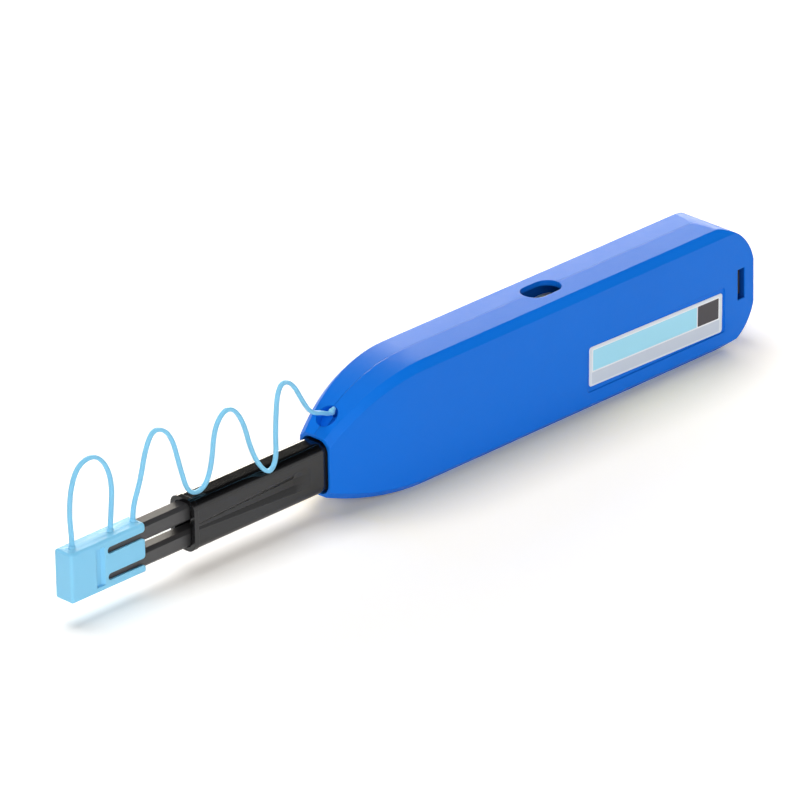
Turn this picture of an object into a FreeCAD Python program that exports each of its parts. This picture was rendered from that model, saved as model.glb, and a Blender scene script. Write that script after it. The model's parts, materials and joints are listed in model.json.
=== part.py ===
import FreeCAD, Part
import math
import os
import Sketcher

# Push-to-clean pen for duplex fibre connectors, in millimetres.
# +X runs from the nose to the rear end, +Z is up and -Y is the side with the label.
# The origin is the centre of the flat underside that the pen rests on.

SIZES = {
    # Housing: two shells that meet on the plane Y = 0
    "mouth_x": -74.5,
    "rear_x": 58.1,
    "body_top": 30.1,
    "half_width": 8.2,
    "wall": 1.9,
    "roof_wall": 1.4,
    "foot_trim": 0.3,
    "draft_angle": 2.0,
    "edge_chamfer": 1.7,
    "slope_corner_x": -62.4,
    "slope_radius": 40.0,
    "belly_corner_x": -61.0,
    "belly_radius": 80.0,
    "plan_corner_x": -59.7,
    "plan_radius": 120.0,
    "rear_top_radius": 13.0,
    "rear_low_radius": 12.0,
    "collar_length": 13.5,
    "step_length": 7.0,
    "step_depth": 5.35,
    "step_half_height": 8.0,
    "roof_step": 4.2,
    "lip": 0.7,
    "lip_round": 0.45,
    # Nose axis, sleeve and the mouth that it slides in
    "nose_height": 11.6,
    "sleeve_half_width": 3.6,
    "sleeve_half_height": 6.05,
    "sleeve_corner": 2.2,
    "sleeve_wall_side": 1.1,
    "sleeve_wall_top": 0.75,
    "sleeve_out": 40.1,
    "rim_length": 1.3,
    "rim_height": 0.16,
    "mouth_gap": 0.42,
    "groove_front": 0.8,
    "groove_rear": 2.3,
    "groove_floor_share": 0.36,
    "groove_depth": 0.72,
    "groove_run_out": 4.5,
    "groove_end_gap": 5.0,
    "push_travel": 12.0,
    # Twin prongs, on the pitch of a duplex socket
    "prong_pitch": 6.25,
    "prong_width": 3.97,
    "prong_height": 4.24,
    "prong_edge": 0.78,
    "prong_out": 25.5,
    "prong_bore": 1.3,
    "prong_rear_bore": 0.72,
    "prong_seat": 4.0,
    "plug_length": 9.0,
    "fit_gap": 0.05,
    # Sprung cleaning tips inside the prongs
    "tip_reach": 5.6,
    "tip_radius": 0.62,
    "tip_edge": 0.2,
    "tip_body_radius": 1.24,
    "tip_tail_radius": 0.64,
    "tip_shoulder": 0.6,
    "tip_body_length": 15.5,
    "tip_tail_length": 12.0,
    "tip_spring_length": 9.8,
    "tip_spring_wire": 0.3,
    "tip_spring_turns": 4.0,
    "thread_width": 0.7,
    "thread_thickness": 0.28,
    "thread_wrap": 3.6,
    # Dust cap
    "cap_length": 21.6,
    "cap_half_width": 2.7,
    "cap_half_height": 5.85,
    "cap_round": 0.7,
    "cap_fit": 0.12,
    "cap_front_wall": 4.02,
    "cap_slot_height": 1.6,
    "cap_slot_length": 10.9,
    "cap_finger_round": 0.65,
    "grip_from": 7.35,
    "grip_width": 1.95,
    "grip_ramp": 0.6,
    "grip_depth": 0.9,
    "grip_half_height": 4.55,
    "loop_front": 2.9,
    "loop_span": 11.1,
    "loop_height": 19.95,
    "tether_root_inset": 0.8,
    "strand_half": 0.52,
    "root_radius": 0.75,
    "root_height": 0.7,
    # Reels, axles and the frame that carries them
    "reel_height": 16.1,
    "supply_x": 1.8,
    "take_up_x": 19.5,
    "reel_near": -2.2,
    "reel_far": 5.0,
    "supply_flange": 9.4,
    "take_up_flange": 7.8,
    "flange_thickness": 0.7,
    "hub_radius": 3.4,
    "axle_radius": 1.5,
    "bore_gap": 0.06,
    "seat_gap": 0.02,
    "supply_roll": 8.2,
    "take_up_roll": 4.6,
    "flange_hole": 1.2,
    "frame_front_x": -53.7,
    "frame_rear_x": 46.3,
    "frame_half_width": 6.0,
    "frame_wall": 0.7,
    "frame_floor": 0.9,
    "frame_top": 23.3,
    "frame_gap": 0.28,
    "frame_corner": 4.0,
    "bridge_x": -34.5,
    "bridge_thickness": 1.5,
    "boss_radius": 2.7,
    "tab_x": 53.1,
    "tab_length": 1.2,
    "tab_low": 12.0,
    "tab_high": 17.8,
    "tab_reach": 7.1,
    # Rack, pinion and return spring
    "tooth_module": 0.8,
    "pinion_teeth": 16,
    "gear_width": 2.4,
    "gear_near": -4.9,
    "backlash": 0.07,
    "rack_back": 3.0,
    "rack_teeth": 13,
    "carriage_flange": 3.0,
    "carriage_half_width": 5.0,
    "carriage_half_height": 7.4,
    "pinion_hub": 2.1,
    "clutch_bore": 2.8,
    "clutch_depth": 2.6,
    "clutch_wire": 0.44,
    "clutch_turns": 3.0,
    "spring_radius": 3.0,
    "spring_wire": 0.8,
    "spring_turns": 6.0,
    "spring_side": 1.2,
    "spigot_radius": 2.2,
    "spigot_length": 2.6,
    # Openings in the housing
    "window_x": -3.2,
    "window_length": 10.5,
    "window_width": 6.7,
    "slot_x": 52.5,
    "slot_length": 2.4,
    "slot_low": 11.1,
    "slot_high": 18.65,
    "tether_hole_x": -70.7,
    "tether_hole_radius": 2.7,
    "tether_hole_z": 22.2,
    "tether_hole_depth": 2.3,
    "tether_hole_tilt": -42.0,
    "knob_radius": 0.8,
    "knob_offset": 1.46,
    "knob_sink": 0.91,
    "tail_radius": 0.5,
    "tail_depth": 1.5,
    # Label
    "label_x": 25.7,
    "label_z": 10.25,
    "label_length": 43.6,
    "label_height": 9.6,
    "label_thickness": 0.12,
    "label_turn": 1.3,
    "recess_margin": 0.75,
    "recess_depth": 0.3,
}


class Size:
    """A length with the spreadsheet expression that gives it, so that features can be bound to it."""

    def __init__(self, value, text):
        self.value = float(value)
        self.text = text

    def joined(self, other, sign, value):
        return Size(value, f"({self.text} {sign} {as_size(other).text})")

    def __add__(self, other):
        return self.joined(other, "+", self.value + as_size(other).value)

    def __radd__(self, other):
        return as_size(other) + self

    def __sub__(self, other):
        return self.joined(other, "-", self.value - as_size(other).value)

    def __rsub__(self, other):
        return as_size(other) - self

    def __mul__(self, other):
        return self.joined(other, "*", self.value * as_size(other).value)

    def __rmul__(self, other):
        return as_size(other) * self

    def __truediv__(self, other):
        return self.joined(other, "/", self.value / as_size(other).value)

    def __neg__(self):
        return 0 - self


def as_size(number):
    """Wraps a plain number, so that it can stand beside a named size."""
    return number if isinstance(number, Size) else Size(number, repr(float(number)))


class Named:
    """Gives each cell of the size sheet as an attribute, such as s.wall."""

    def __getattr__(self, name):
        return Size(SIZES[name], f"sizes.{name}")


doc = FreeCAD.newDocument("cleaning_pen")
sheet = doc.addObject("Spreadsheet::Sheet", "sizes")
for row, (alias, amount) in enumerate(SIZES.items(), start=1):
    sheet.set(f"A{row}", alias)
    sheet.set(f"B{row}", str(amount))
    sheet.setAlias(f"B{row}", alias)
doc.recompute()
s = Named()
parts = []


# ---------------------------------------------------------------- modelling helpers


def bind(thing, path, size):
    """Ties one property of an object to the sheet."""
    thing.setExpression(path, as_size(size).text)


def new_body(label, x=0, y=0, z=0):
    """Starts a sub-part, with its own place in the pen."""
    body = doc.addObject("PartDesign::Body", label)
    body.Label = label
    for axis, size in zip("xyz", (x, y, z)):
        bind(body, f"Placement.Base.{axis}", size)
    parts.append(body)
    return body


def new_sketch(body, name, plane, offset=0):
    """A sketch on one of the body's own origin planes, moved along that plane's normal."""
    sketch = body.newObject("Sketcher::SketchObject", name)
    support = [f for f in body.Origin.OriginFeatures if f.Role == plane][0]
    sketch.AttachmentSupport = [(support, "")]
    sketch.MapMode = "FlatFace"
    bind(sketch, "AttachmentOffset.Base.z", offset)
    return sketch


def fix_point(sketch, geometry, end, x, y):
    """Holds one end of a line, or a centre, at a place measured from the sketch's origin."""
    for kind, size in (("DistanceX", as_size(x)), ("DistanceY", as_size(y))):
        index = sketch.addConstraint(Sketcher.Constraint(kind, -1, 1, geometry, end, size.value))
        sketch.setExpression(f"Constraints[{index}]", size.text)


def fix_radius(sketch, geometry, radius):
    index = sketch.addConstraint(Sketcher.Constraint("Radius", geometry, as_size(radius).value))
    sketch.setExpression(f"Constraints[{index}]", as_size(radius).text)


def circle(sketch, x, y, radius):
    """A circle bound in place and size."""
    centre = FreeCAD.Vector(as_size(x).value, as_size(y).value, 0)
    shape = Part.Circle(centre, FreeCAD.Vector(0, 0, 1), as_size(radius).value)
    index = sketch.addGeometry(shape, False)
    fix_point(sketch, index, 3, x, y)
    fix_radius(sketch, index, radius)


def corner_arc(before, corner, after, radius):
    """The tangent arc that rounds a corner, with its two ends."""
    back = (before - corner).normalize()
    ahead = (after - corner).normalize()
    half_turn = back.getAngle(ahead) / 2
    reach = radius / math.tan(half_turn)
    middle = (back + ahead).normalize()
    centre = corner + middle * (radius / math.sin(half_turn))
    start = corner + back * reach
    end = corner + ahead * reach
    return Part.Arc(start, centre - middle * radius, end), start, end


def outline(sketch, corners, closed=True):
    """Lines through the corners (x, y), with a tangent arc at each corner given as (x, y, radius)."""
    count = len(corners)
    points = [FreeCAD.Vector(as_size(c[0]).value, as_size(c[1]).value, 0) for c in corners]
    runs = count if closed else count - 1
    guides = []
    for k in range(runs):
        guide = Part.LineSegment(points[k], points[(k + 1) % count])
        index = sketch.addGeometry(guide, True)
        fix_point(sketch, index, 1, corners[k][0], corners[k][1])
        guides.append(index)
        if k:
            sketch.addConstraint(Sketcher.Constraint("Coincident", guides[k - 1], 2, index, 1))
    if closed:
        sketch.addConstraint(Sketcher.Constraint("Coincident", guides[-1], 2, guides[0], 1))
    else:
        fix_point(sketch, guides[-1], 2, corners[-1][0], corners[-1][1])
    starts, ends, arcs = {}, {}, {}
    for k in range(count):
        inner = closed or 0 < k < count - 1
        if inner and len(corners[k]) == 3:
            radius = as_size(corners[k][2])
            arc, start, end = corner_arc(points[k - 1], points[k], points[(k + 1) % count], radius.value)
            arcs[k] = sketch.addGeometry(arc, False)
            fix_radius(sketch, arcs[k], radius)
            starts[k], ends[k] = end, start
        else:
            starts[k] = ends[k] = points[k]
    for k in range(runs):
        after = (k + 1) % count
        line = sketch.addGeometry(Part.LineSegment(starts[k], ends[after]), False)
        for here, end in ((k, 1), (after, 2)):
            if here in arcs:
                arc_end = nearest_end(sketch, arcs[here], starts[k] if end == 1 else ends[after])
                sketch.addConstraint(Sketcher.Constraint("PointOnObject", line, end, guides[k]))
                sketch.addConstraint(Sketcher.Constraint("Tangent", line, end, arcs[here], arc_end))
            else:
                guide, guide_end = (guides[k], end)
                sketch.addConstraint(Sketcher.Constraint("Coincident", line, end, guide, guide_end))
    return sketch


def nearest_end(sketch, arc, point):
    """Which end of an arc, 1 or 2, lies at a point."""
    to_start = sketch.getPoint(arc, 1).distanceToPoint(point)
    to_end = sketch.getPoint(arc, 2).distanceToPoint(point)
    return 1 if to_start < to_end else 2


def box_corners(low_x, low_y, high_x, high_y, radius=None):
    """A rectangle's corners, rounded if a radius is given."""
    corners = [(low_x, low_y), (high_x, low_y), (high_x, high_y), (low_x, high_y)]
    return [c + (radius,) for c in corners] if radius is not None else corners


def swept(body, kind, sketch, length, way):
    """A pad or pocket. way is '+' or '-' along the sketch's normal, or 'both' for half each way."""
    feature = body.newObject(f"PartDesign::{kind}", sketch.Name + kind)
    feature.Profile = sketch
    bind(feature, "Length", length)
    if way == "both":
        feature.SideType = "Symmetric"
    else:
        feature.Reversed = (way == "-") == (kind == "Pad")
    doc.recompute()
    return feature


def pad(body, sketch, length, way="+"):
    return swept(body, "Pad", sketch, length, way)


def pocket(body, sketch, length, way="-"):
    before = body.Shape.Volume
    feature = swept(body, "Pocket", sketch, length, way)
    if body.Shape.Volume > before - 1e-6:
        raise RuntimeError(f"{feature.Name} in {body.Label} cuts nothing")
    return feature


def turned(body, sketch, axis):
    """A full revolution about one of the sketch's own axes."""
    feature = body.newObject("PartDesign::Revolution", sketch.Name + "Turn")
    feature.Profile = sketch
    feature.ReferenceAxis = (sketch, [axis])
    feature.Angle = 360
    doc.recompute()
    return feature


def edges_of(feature, test):
    """The names of a feature's edges whose start, middle and end pass a test."""
    names = []
    for number, edge in enumerate(feature.Shape.Edges, start=1):
        first, last = edge.FirstParameter, edge.LastParameter
        if test([edge.valueAt(first), edge.valueAt((first + last) / 2), edge.valueAt(last)]):
            names.append(f"Edge{number}")
    return names


def fillet(body, radius, test):
    """A fillet along every edge of the body so far that passes a test."""
    base = body.Tip
    feature = body.newObject("PartDesign::Fillet", base.Name + "Fillet")
    feature.Base = (base, edges_of(base, test))
    bind(feature, "Radius", radius)
    doc.recompute()
    return feature


def pin(label, radius, length, x, y, z):
    """A plain round pin along Y, centred at a place."""
    cylinder = doc.addObject("Part::Cylinder", label)
    cylinder.Label = label
    bind(cylinder, "Radius", radius)
    bind(cylinder, "Height", length)
    cylinder.Placement.Rotation = FreeCAD.Rotation(FreeCAD.Vector(1, 0, 0), 90)
    for axis, size in zip("xyz", (x, y + length / 2, z)):
        bind(cylinder, f"Placement.Base.{axis}", size)
    parts.append(cylinder)
    return cylinder


def coil_spring(label, mean_radius, wire, length, turns, x, y, z, axis="X"):
    """An open coil that starts at a place and runs along X, or along +Y. Four flats stand for round wire."""
    helix = doc.addObject("Part::Helix", label + "_path")
    free = length - wire
    bind(helix, "Radius", mean_radius)
    bind(helix, "Height", free)
    bind(helix, "Pitch", free / turns)
    section = doc.addObject("Part::RegularPolygon", label + "_wire")
    section.Polygon = 4
    bind(section, "Circumradius", wire / 2)
    bind(section, "Placement.Base.x", mean_radius)
    section.Placement.Rotation = FreeCAD.Rotation(FreeCAD.Vector(1, 0, 0), 90)
    sweep = doc.addObject("Part::Sweep", label)
    sweep.Label = label
    sweep.Sections = [section]
    sweep.Spine = (helix, ["Edge1"])
    sweep.Solid = True
    sweep.Frenet = True
    if axis == "X":
        sweep.Placement.Rotation = FreeCAD.Rotation(FreeCAD.Vector(0, 1, 0), 90)
        place = (x + wire / 2, y, z)
    else:
        sweep.Placement.Rotation = FreeCAD.Rotation(FreeCAD.Vector(1, 0, 0), -90)
        place = (x, y + wire / 2, z)
    for name, size in zip("xyz", place):
        bind(sweep, f"Placement.Base.{name}", size)
    parts.append(sweep)
    return sweep


# ---------------------------------------------------------------- values worked out from the sizes

mouth_half_width = s.sleeve_half_width + s.mouth_gap
mouth_half_height = s.sleeve_half_height + s.mouth_gap
stop_x = s.mouth_x + s.collar_length
step_x = stop_x + s.step_length
rear_in_x = s.rear_x - s.wall
roof = s.body_top - s.roof_wall
mouth_side = mouth_half_width + s.lip
mouth_low = s.nose_height - mouth_half_height - s.lip
mouth_high = s.nose_height + mouth_half_height + s.lip
draft = Size(math.tan(math.radians(s.draft_angle.value)), f"tan({s.draft_angle.text} * 1 deg)")


# ---------------------------------------------------------------- housing shells


def tilted_sketch(body, name):
    """A sketch square to the slope of the nose end, centred on the tether's hole."""
    sketch = new_sketch(body, name, "XY_Plane")
    lean = FreeCAD.Rotation(FreeCAD.Vector(0, 1, 0), s.tether_hole_tilt.value)
    sketch.AttachmentOffset = FreeCAD.Placement(FreeCAD.Vector(0, 0, 0), lean)
    bind(sketch, "AttachmentOffset.Base.x", s.tether_hole_x)
    bind(sketch, "AttachmentOffset.Base.z", s.tether_hole_z)
    bind(sketch, "AttachmentOffset.Rotation.Angle", s.tether_hole_tilt)
    return sketch


def past_mouth(corner_x, corner_level, mouth_level):
    """Where a line from a corner through the mouth's rim ends, if it runs on past the mouth."""
    return (s.mouth_x + (s.mouth_x - corner_x) * 0.45, mouth_level + (mouth_level - corner_level) * 0.45)


def long_edge_cut(body, name, way, turns, corner_x, level, mouth_level, radius):
    """Cuts one long edge of the housing at 45 degrees. Levels are heights in a view along the cut face."""
    view = new_sketch(body, name, "XZ_Plane")
    angle = 45 * turns * (1 if way == "+" else -1)
    view.AttachmentOffset = FreeCAD.Placement(
        FreeCAD.Vector(0, 0, 0), FreeCAD.Rotation(FreeCAD.Vector(1, 0, 0), angle))
    front = past_mouth(corner_x, level, mouth_level)
    above = level + s.half_width
    outline(view, [
        (front[0], above), (s.rear_x + s.half_width, above), (s.rear_x + s.half_width, level),
        (corner_x, level, radius), front,
    ])
    pocket(body, view, 6 * s.body_top, "both")


def make_shell(label, way):
    """One moulded half of the housing. way is '+' for the labelled side, at -Y, and '-' for the other."""
    body = new_body(label)
    out = "-" if way == "+" else "+"

    form = new_sketch(body, label + "_form", "XZ_Plane")
    outline(form, [
        past_mouth(s.belly_corner_x, -s.foot_trim, mouth_low),
        (s.belly_corner_x, -s.foot_trim, s.belly_radius),
        (s.rear_x, -s.foot_trim),
        (s.rear_x, s.body_top),
        (s.slope_corner_x, s.body_top, s.slope_radius),
        past_mouth(s.slope_corner_x, s.body_top, mouth_high),
    ])
    block = pad(body, form, s.half_width, way)
    bind(block, "TaperAngle", -s.draft_angle)
    doc.recompute()

    foot = new_sketch(body, label + "_foot", "XZ_Plane")
    outline(foot, box_corners(s.mouth_x, -2 * s.foot_trim, s.rear_x, 0))
    pocket(body, foot, 4 * s.half_width, "both")

    nose = new_sketch(body, label + "_nose", "XZ_Plane")
    outline(nose, box_corners(s.mouth_x - 2 * s.half_width, -s.half_width, s.mouth_x, s.body_top))
    pocket(body, nose, 4 * s.half_width, "both")

    reach = s.half_width - s.half_width * draft - s.edge_chamfer
    mouth_reach = mouth_side - mouth_side * draft - s.edge_chamfer
    diagonal = math.sqrt(2)
    long_edge_cut(body, label + "_top_edge", way, 1, 0.8 * s.slope_corner_x + 0.2 * s.plan_corner_x,
                  (s.body_top + reach) / diagonal, (mouth_high + mouth_reach) / diagonal,
                  1.06 * s.slope_radius)
    long_edge_cut(body, label + "_low_edge", way, 3, 0.6 * s.belly_corner_x + 0.4 * s.plan_corner_x,
                  (s.foot_trim + reach) / diagonal, (mouth_reach - mouth_low) / diagonal,
                  0.86 * s.belly_radius)

    plan = new_sketch(body, label + "_plan", "XY_Plane")
    side = -1 if way == "+" else 1
    front_x, front_y = past_mouth(s.plan_corner_x, s.half_width, mouth_side)
    plan_rear = s.plan_corner_x + s.plan_radius * 0.15
    outline(plan, [
        (front_x, side * 2 * s.half_width),
        (plan_rear, side * 2 * s.half_width),
        (plan_rear, side * s.half_width),
        (s.plan_corner_x, side * s.half_width, s.plan_radius),
        (front_x, side * front_y),
    ])
    pocket(body, plan, 4 * s.body_top, "both")

    def mouth_rim(edge_points):
        at_mouth = all(abs(p.x - s.mouth_x.value) < 0.01 for p in edge_points)
        return at_mouth and any(abs(p.y) > 0.01 for p in edge_points)

    fillet(body, s.lip_round, mouth_rim)

    for name, corner_z, beyond, radius in (
        ("_rear_top", s.body_top, s.body_top + 2, s.rear_top_radius),
        ("_rear_low", as_size(0), as_size(-2), s.rear_low_radius),
    ):
        inward = -1 if name == "_rear_top" else 1
        corner = new_sketch(body, label + name, "XZ_Plane")
        outline(corner, [
            (s.rear_x + 2, beyond),
            (s.rear_x + 2, corner_z + inward * (radius + 1)),
            (s.rear_x, corner_z + inward * (radius + 1)),
            (s.rear_x, corner_z, radius),
            (s.rear_x - radius - 1, corner_z),
            (s.rear_x - radius - 1, beyond),
        ])
        pocket(body, corner, 4 * s.half_width, "both")

    hollow = new_sketch(body, label + "_hollow", "XZ_Plane")
    outline(hollow, [
        (step_x, s.wall),
        (rear_in_x, s.wall, s.rear_low_radius - s.wall),
        (rear_in_x, roof, s.rear_top_radius - s.wall),
        (step_x + s.roof_step * 1.5, roof),
        (step_x, roof - s.roof_step),
    ])
    pocket(body, hollow, s.half_width - s.wall, "+" if way == "+" else "-")

    step = new_sketch(body, label + "_step", "XZ_Plane")
    outline(step, box_corners(stop_x, s.nose_height - s.step_half_height,
                              step_x + 0.5, s.nose_height + s.step_half_height))
    pocket(body, step, s.step_depth, "+" if way == "+" else "-")

    mouth = new_sketch(body, label + "_mouth", "YZ_Plane", s.mouth_x - 1)
    outline(mouth, box_corners(-mouth_half_width, s.nose_height - mouth_half_height,
                               mouth_half_width, s.nose_height + mouth_half_height,
                               s.sleeve_corner + s.mouth_gap))
    pocket(body, mouth, s.collar_length + 1.5, "+")

    window = new_sketch(body, label + "_window", "XY_Plane", s.body_top + 1)
    outline(window, box_corners(s.window_x - s.window_length / 2, -s.window_width / 2,
                                s.window_x + s.window_length / 2, s.window_width / 2,
                                s.window_width / 2 - 0.001))
    pocket(body, window, s.roof_wall + 2, "-")

    slot = new_sketch(body, label + "_slot", "XZ_Plane")
    outline(slot, box_corners(s.slot_x, s.slot_low, s.slot_x + s.slot_length, s.slot_high))
    pocket(body, slot, s.half_width + 1, "+" if way == "+" else "-")

    hole = tilted_sketch(body, label + "_tether_hole")
    circle(hole, 0, 0, s.tether_hole_radius)
    pocket(body, hole, 2 * s.tether_hole_depth, "both")

    tail = tilted_sketch(body, label + "_tail_bore")
    circle(tail, s.knob_offset, 0, s.tail_radius + s.bore_gap)
    pocket(body, tail, 2 * (s.tether_hole_depth + s.tail_depth), "both")

    if way == "+":
        recess = new_sketch(body, label + "_recess", "XZ_Plane", s.half_width)
        reach_x = s.label_length / 2 + s.recess_margin
        reach_z = s.label_height / 2 + s.recess_margin
        outline(recess, box_corners(s.label_x - reach_x, s.label_z - reach_z,
                                    s.label_x + reach_x, s.label_z + reach_z, 0.8))
        pocket(body, recess, s.recess_depth, "-")
    return body


make_shell("shell_near", "+")
make_shell("shell_far", "-")


# ---------------------------------------------------------------- label

label = doc.addObject("Part::Box", "label")
label.Label = "label"
bind(label, "Length", s.label_length)
bind(label, "Width", s.label_thickness)
bind(label, "Height", s.label_height)
turn = FreeCAD.Rotation(FreeCAD.Vector(0, 1, 0), s.label_turn.value)
corner = turn.multVec(FreeCAD.Vector(s.label_length.value / 2, 0, s.label_height.value / 2))
label.Placement.Rotation = turn
bind(label, "Placement.Rotation.Angle", s.label_turn)
bind(label, "Placement.Base.x", s.label_x - corner.x)
bind(label, "Placement.Base.y", s.recess_depth - s.half_width - s.label_thickness)
bind(label, "Placement.Base.z", s.label_z - corner.z)
parts.append(label)


# ---------------------------------------------------------------- sleeve, the outer tube of the nose

rim_x = s.mouth_x - s.sleeve_out
plug_front = stop_x - s.plug_length

sleeve = new_body("sleeve")
tube = new_sketch(sleeve, "sleeve_tube", "YZ_Plane", rim_x)
outline(tube, box_corners(-s.sleeve_half_width, s.nose_height - s.sleeve_half_height,
                          s.sleeve_half_width, s.nose_height + s.sleeve_half_height, s.sleeve_corner))
pad(sleeve, tube, stop_x - rim_x)
rim = new_sketch(sleeve, "sleeve_rim", "YZ_Plane", rim_x)
rim_half_width = s.sleeve_half_width + s.rim_height
rim_half_height = s.sleeve_half_height + s.rim_height
outline(rim, box_corners(-rim_half_width, s.nose_height - rim_half_height,
                         rim_half_width, s.nose_height + rim_half_height,
                         s.sleeve_corner + s.rim_height))
pad(sleeve, rim, s.rim_length)
bore_half_width = s.sleeve_half_width - s.sleeve_wall_side
bore_half_height = s.sleeve_half_height - s.sleeve_wall_top
bore = new_sketch(sleeve, "sleeve_bore", "YZ_Plane", rim_x - 1)
outline(bore, box_corners(-bore_half_width, s.nose_height - bore_half_height,
                          bore_half_width, s.nose_height + bore_half_height,
                          s.sleeve_corner - s.sleeve_wall_top))
pocket(sleeve, bore, stop_x - rim_x + 2, "+")


def groove_section(name, x, half_top, half_floor, depth, side):
    """A trapezoid across the side groove at one station along the sleeve."""
    section = new_sketch(sleeve, name, "YZ_Plane", x)
    lifted = side * (s.sleeve_half_width + depth * 0.5)
    floor = side * (s.sleeve_half_width - depth)
    flare = half_top + (half_top - half_floor) * 0.5
    outline(section, [
        (lifted, s.nose_height - flare),
        (floor, s.nose_height - half_floor),
        (floor, s.nose_height + half_floor),
        (lifted, s.nose_height + flare),
    ])
    return section


groove_start = rim_x + s.rim_length
groove_end = s.mouth_x - s.groove_end_gap
groove_tail = groove_end - s.groove_run_out
for word, side in (("near", -1), ("far", 1)):
    stations = [
        (groove_start, s.groove_front, s.groove_depth * 0.35),
        (groove_tail, s.groove_rear, s.groove_depth),
        (groove_end, s.groove_rear * 1.1, s.groove_depth * 0.04),
    ]
    sections = []
    for number, (x, half_top, depth) in enumerate(stations):
        half_floor = half_top * s.groove_floor_share
        sections.append(groove_section(f"groove_{word}_{number}", x, half_top, half_floor, depth, side))
    for first, second in ((0, 1), (1, 2)):
        loft = sleeve.newObject("PartDesign::SubtractiveLoft", f"groove_{word}_loft{first}")
        loft.Profile = sections[first]
        loft.Sections = [sections[second]]
        loft.Ruled = True
        doc.recompute()


# ---------------------------------------------------------------- prongs, one square tube each


def make_prong(label, side):
    """A square guide tube with chamfered edges and a stepped bore for its cleaning tip."""
    body = new_body(label, 0, 0, s.nose_height + side * s.prong_pitch / 2)
    front = rim_x - s.prong_out
    length = plug_front + s.prong_seat - front
    tube = new_sketch(body, label + "_tube", "YZ_Plane", front)
    wide, high, cut = s.prong_width / 2, s.prong_height / 2, s.prong_edge
    outline(tube, [
        (cut - wide, -high), (wide - cut, -high), (wide, cut - high), (wide, high - cut),
        (wide - cut, high), (cut - wide, high), (-wide, high - cut), (-wide, cut - high),
    ])
    pad(body, tube, length)
    bore = new_sketch(body, label + "_bore", "YZ_Plane", front - 1)
    circle(bore, 0, 0, s.prong_bore)
    pocket(body, bore, prong_shoulder - front + 1, "+")
    tail = new_sketch(body, label + "_tail_bore", "YZ_Plane", front)
    circle(tail, 0, 0, s.prong_rear_bore)
    pocket(body, tail, length + 1, "+")
    return body


prong_front = rim_x - s.prong_out
tip_front = prong_front - s.tip_reach
tip_shoulder_x = prong_front + s.tip_shoulder
tip_step_x = tip_shoulder_x + s.tip_body_length
prong_shoulder = tip_step_x + s.tip_spring_length + 2 * s.fit_gap
make_prong("prong_upper", 1)
make_prong("prong_lower", -1)


def make_tip(word, side):
    """A cleaning tip with its tail, its spring and the band of cleaning thread over its end."""
    height = s.nose_height + side * s.prong_pitch / 2
    tip = new_body(f"tip_{word}", 0, 0, height)
    profile = new_sketch(tip, f"tip_{word}_profile", "XY_Plane")
    outline(profile, [
        (tip_front, 0),
        (tip_front, s.tip_radius - s.tip_edge),
        (tip_front + s.tip_edge, s.tip_radius),
        (tip_shoulder_x, s.tip_radius),
        (tip_shoulder_x, s.tip_body_radius),
        (tip_step_x, s.tip_body_radius),
        (tip_step_x, s.tip_tail_radius),
        (tip_step_x + s.tip_tail_length, s.tip_tail_radius),
        (tip_step_x + s.tip_tail_length, 0),
    ])
    turned(tip, profile, "H_Axis")
    mean = (s.tip_tail_radius + s.prong_bore) / 2
    coil_spring(f"tip_spring_{word}", mean, s.tip_spring_wire, s.tip_spring_length,
                s.tip_spring_turns, tip_step_x + s.fit_gap, as_size(0), height)
    band = new_body(f"tip_thread_{word}", 0, 0, height)
    strap = new_sketch(band, f"tip_thread_{word}_strap", "XZ_Plane")
    inner = s.tip_radius
    outer = s.tip_radius + s.thread_thickness
    rear = tip_front + s.thread_wrap
    outline(strap, [
        (rear, -outer), (rear, -inner), (tip_front, -inner), (tip_front, inner), (rear, inner),
        (rear, outer), (tip_front - s.thread_thickness, outer, 0.25),
        (tip_front - s.thread_thickness, -outer, 0.25),
    ])
    pad(band, strap, s.thread_width, "both")


make_tip("upper", 1)
make_tip("lower", -1)


# ---------------------------------------------------------------- carriage with the rack

gear_far = s.gear_near + s.gear_width
pitch_radius = s.tooth_module * s.pinion_teeth / 2
rack_line = s.reel_height - pitch_radius
tooth_pitch = s.tooth_module * math.pi
rack_addendum = s.tooth_module * 0.88
rack_dedendum = s.tooth_module * 1.1
flange_rear = stop_x + s.frame_gap + s.carriage_flange
rack_end = s.take_up_x + tooth_pitch * 3.5

carriage = new_body("carriage")
plug = new_sketch(carriage, "carriage_plug", "YZ_Plane", plug_front)
outline(plug, box_corners(s.fit_gap - bore_half_width, s.nose_height - bore_half_height + s.fit_gap,
                          bore_half_width - s.fit_gap, s.nose_height + bore_half_height - s.fit_gap,
                          s.sleeve_corner - s.sleeve_wall_top - s.fit_gap))
pad(carriage, plug, s.plug_length + s.frame_gap)
stop = new_sketch(carriage, "carriage_stop", "YZ_Plane", stop_x + s.frame_gap)
outline(stop, box_corners(-s.carriage_half_width, s.nose_height - s.carriage_half_height,
                          s.carriage_half_width, s.nose_height + s.carriage_half_height, 1.2))
pad(carriage, stop, s.carriage_flange)
arm = new_sketch(carriage, "carriage_arm", "YZ_Plane", flange_rear)
outline(arm, box_corners(s.gear_near, rack_line - rack_dedendum - s.rack_back,
                         gear_far, rack_line - rack_dedendum))
pad(carriage, arm, rack_end - flange_rear)
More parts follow.
